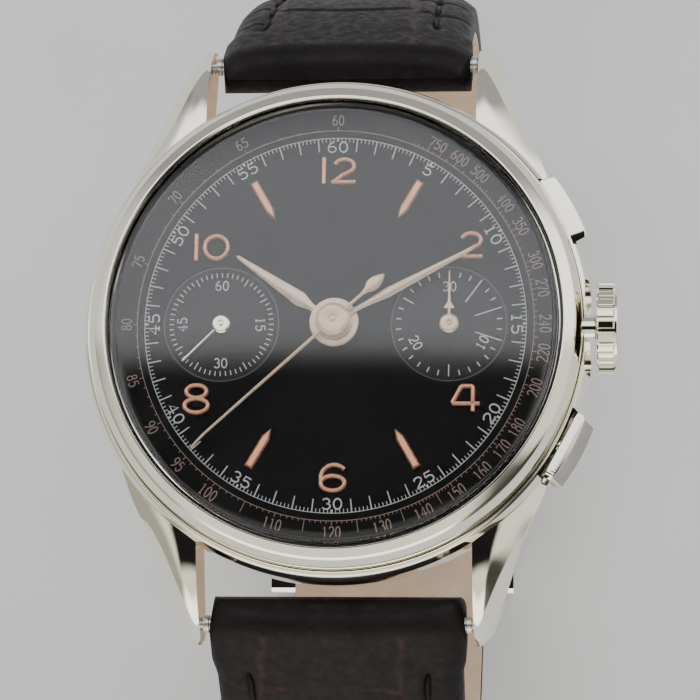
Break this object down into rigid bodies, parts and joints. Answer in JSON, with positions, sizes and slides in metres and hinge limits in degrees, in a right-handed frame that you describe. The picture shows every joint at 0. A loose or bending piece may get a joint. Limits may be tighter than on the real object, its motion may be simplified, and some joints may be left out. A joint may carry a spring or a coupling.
{
  "type": "chronograph wristwatch",
  "caption": "Round steel chronograph wristwatch with sub-dials, crown, rectangular pushers and a buckled leather strap, standing dial up.",
  "frame": {"origin": "flat outer face of the fixed keeper at the bottom of the buckled strap, straight below the hands' axis", "axes": "+Z is the dial's normal and points up, +Y points to 12 o'clock, +X points to the crown at 3 o'clock"},
  "size_m": [0.0391, 0.0638, 0.059],
  "materials": {
    "polished_steel": "polished, slightly warm, fine wear",
    "satin_steel": "satin",
    "brass": "satin gilt",
    "rose_gold": "polished rose gold",
    "pale_gold": "polished pale rose gold",
    "blued_steel": "blued",
    "black_lacquer": "glossy black lacquer",
    "acrylic_crystal": "clear domed acrylic",
    "dark_leather": "dark brown embossed leather with tone-on-tone stitching"
  },
  "bodies": {
    "root": {"mid_case": "polished_steel", "bezel": "polished_steel", "crystal": "acrylic_crystal", "case_back": "satin_steel", "crown_tube": "polished_steel", "dial": "black_lacquer", "numeral_12_1": "rose_gold", "numeral_12_2": "rose_gold", "numeral_2": "rose_gold", "numeral_4": "rose_gold", "numeral_6": "rose_gold", "numeral_8": "rose_gold", "numeral_10_1": "rose_gold", "numeral_10_0": "rose_gold", "baton_1": "rose_gold", "baton_5": "rose_gold", "baton_7": "rose_gold", "baton_11": "rose_gold", "main_plate": "satin_steel", "train_bridge": "satin_steel", "balance_cock": "satin_steel", "chronograph_bridge": "satin_steel", "hairspring": "blued_steel", "strap_short": "dark_leather", "strap_long": "dark_leather", "spring_bar_12": "satin_steel", "spring_bar_6": "satin_steel", "buckle_frame": "polished_steel", "buckle_bar": "satin_steel", "keeper_fixed": "dark_leather"},
    "seconds": {"fourth_wheel": "brass", "seconds_hand": "polished_steel"},
    "center": {"center_wheel": "brass"},
    "third": {"third_wheel": "brass"},
    "escape": {"escape_wheel": "satin_steel"},
    "barrel": {"barrel": "brass", "mainspring": "satin_steel"},
    "pallet": {"pallet_fork": "satin_steel"},
    "balance": {"balance_wheel": "brass"},
    "minute": {"cannon_pinion": "satin_steel", "minute_hand": "pale_gold"},
    "minute_work": {"minute_wheel": "brass"},
    "hour": {"hour_wheel": "brass", "hour_hand": "pale_gold"},
    "sweep": {"chrono_runner": "brass", "sweep_hand": "pale_gold"},
    "recorder": {"recorder_wheel": "brass", "recorder_hand": "pale_gold"},
    "start_pusher": {"start_pusher": "polished_steel"},
    "reset_pusher": {"reset_pusher": "polished_steel"},
    "operating_lever": {"operating_lever": "satin_steel"},
    "reset_hammer": {"reset_hammer": "satin_steel"},
    "winding": {"winding_pinion": "satin_steel"},
    "crown": {"crown": "polished_steel", "winding_stem": "satin_steel"},
    "sliding": {"sliding_pinion": "satin_steel"},
    "crown_wheel": {"crown_wheel": "satin_steel"},
    "ratchet": {"ratchet_wheel": "satin_steel"},
    "tongue": {"buckle_tongue": "polished_steel"},
    "keeper_free": {"keeper_free": "dark_leather"}
  },
  "joints": [
    {"name": "seconds_turn", "type": "hinge", "parent": "root", "child": "seconds", "pos_m": [-0.00815, 0, 0.0517], "axis": [0, 0, -1], "continuous": true},
    {"name": "center_turn", "type": "hinge", "parent": "root", "child": "center", "pos_m": [0, 0, 0.051], "axis": [0, 0, -1], "continuous": true},
    {"name": "third_turn", "type": "hinge", "parent": "root", "child": "third", "pos_m": [-0.00456, 0.00271, 0.051], "axis": [0, 0, -1], "continuous": true},
    {"name": "escape_turn", "type": "hinge", "parent": "root", "child": "escape", "pos_m": [-0.0098, -0.0035, 0.0513], "axis": [0, 0, -1], "continuous": true},
    {"name": "barrel_turn", "type": "hinge", "parent": "root", "child": "barrel", "pos_m": [0.00419, 0.00598, 0.0516], "axis": [0, 0, -1], "continuous": true},
    {"name": "pallet_rock", "type": "hinge", "parent": "root", "child": "pallet", "pos_m": [-0.0076, -0.0054, 0.0513], "axis": [0, 0, 1], "range_deg": [-6, 6]},
    {"name": "balance_swing", "type": "hinge", "parent": "root", "child": "balance", "pos_m": [-0.0036, -0.0089, 0.0508], "axis": [0, 0, 1], "range_deg": [-270, 270], "stiffness_Nm_per_rad": 0.0000002},
    {"name": "minute_turn", "type": "hinge", "parent": "root", "child": "minute", "pos_m": [0, 0, 0.054], "axis": [0, 0, -1], "continuous": true},
    {"name": "minute_work_turn", "type": "hinge", "parent": "root", "child": "minute_work", "pos_m": [0.0018, -0.00312, 0.0541], "axis": [0, 0, -1], "continuous": true},
    {"name": "hour_turn", "type": "hinge", "parent": "root", "child": "hour", "pos_m": [0, 0, 0.0543], "axis": [0, 0, -1], "continuous": true},
    {"name": "sweep_turn", "type": "hinge", "parent": "root", "child": "sweep", "pos_m": [0, 0, 0.049], "axis": [0, 0, -1], "continuous": true},
    {"name": "recorder_turn", "type": "hinge", "parent": "root", "child": "recorder", "pos_m": [0.00815, 0, 0.049], "axis": [0, 0, -1], "continuous": true},
    {"name": "start_press", "type": "slide", "parent": "root", "child": "start_pusher", "axis": [-0.8829, -0.4695, 0], "range_m": [0, 0.00075], "stiffness_N_per_m": 4000, "springref_m": -0.00025},
    {"name": "reset_press", "type": "slide", "parent": "root", "child": "reset_pusher", "axis": [-0.8829, 0.4695, 0], "range_m": [0, 0.001], "stiffness_N_per_m": 3500, "springref_m": -0.00025},
    {"name": "operating_lever_turn", "type": "hinge", "parent": "root", "child": "operating_lever", "pos_m": [0.0113, 0.0008, 0.049], "axis": [0, 0, 1], "range_deg": [0, 8.7]},
    {"name": "reset_hammer_turn", "type": "hinge", "parent": "root", "child": "reset_hammer", "pos_m": [0.0113, -0.0013, 0.0494], "axis": [0, 0, 1], "range_deg": [-11.6, 0]},
    {"name": "winding_turn", "type": "hinge", "parent": "root", "child": "winding", "pos_m": [0.0136, 0, 0.0535], "axis": [1, 0, 0], "continuous": true},
    {"name": "crown_pull", "type": "slide", "parent": "winding", "child": "crown", "axis": [1, 0, 0], "range_m": [0, 0.0012]},
    {"name": "sliding_pinion_slide", "type": "slide", "parent": "winding", "child": "sliding", "axis": [1, 0, 0], "range_m": [-0.00109, 0]},
    {"name": "crown_wheel_turn", "type": "hinge", "parent": "root", "child": "crown_wheel", "pos_m": [0.0113, 0.0027, 0.0494], "axis": [0, 0, 1], "continuous": true},
    {"name": "ratchet_turn", "type": "hinge", "parent": "root", "child": "ratchet", "pos_m": [0.00419, 0.00598, 0.0494], "axis": [0, 0, 1], "continuous": true},
    {"name": "tongue_lift", "type": "hinge", "parent": "root", "child": "tongue", "pos_m": [0, -0.0045, 0.0046], "axis": [1, 0, 0], "range_deg": [0, 12]},
    {"name": "keeper_slide", "type": "slide", "parent": "root", "child": "keeper_free", "axis": [0, 1, 0], "range_m": [-0.0039, 0.001]}
  ],
  "couplings": [
    {"joint": "center_turn", "follows": "seconds_turn", "ratio": 0.016667},
    {"joint": "third_turn", "follows": "seconds_turn", "ratio": -0.13333},
    {"joint": "escape_turn", "follows": "seconds_turn", "ratio": -10},
    {"joint": "barrel_turn", "follows": "seconds_turn", "ratio": -0.002381},
    {"joint": "minute_work_turn", "follows": "minute_turn", "ratio": -0.33333},
    {"joint": "hour_turn", "follows": "minute_turn", "ratio": 0.083333},
    {"joint": "recorder_turn", "follows": "sweep_turn", "ratio": 0.033333},
    {"joint": "operating_lever_turn", "follows": "start_press", "rad_per_m": 201.6},
    {"joint": "reset_hammer_turn", "follows": "reset_press", "rad_per_m": -201.6},
    {"joint": "crown_wheel_turn", "follows": "winding_turn", "ratio": 0.5},
    {"joint": "ratchet_turn", "follows": "winding_turn", "ratio": -0.33333},
    {"joint": "sliding_pinion_slide", "follows": "crown_pull", "ratio": -0.9}
  ]
}
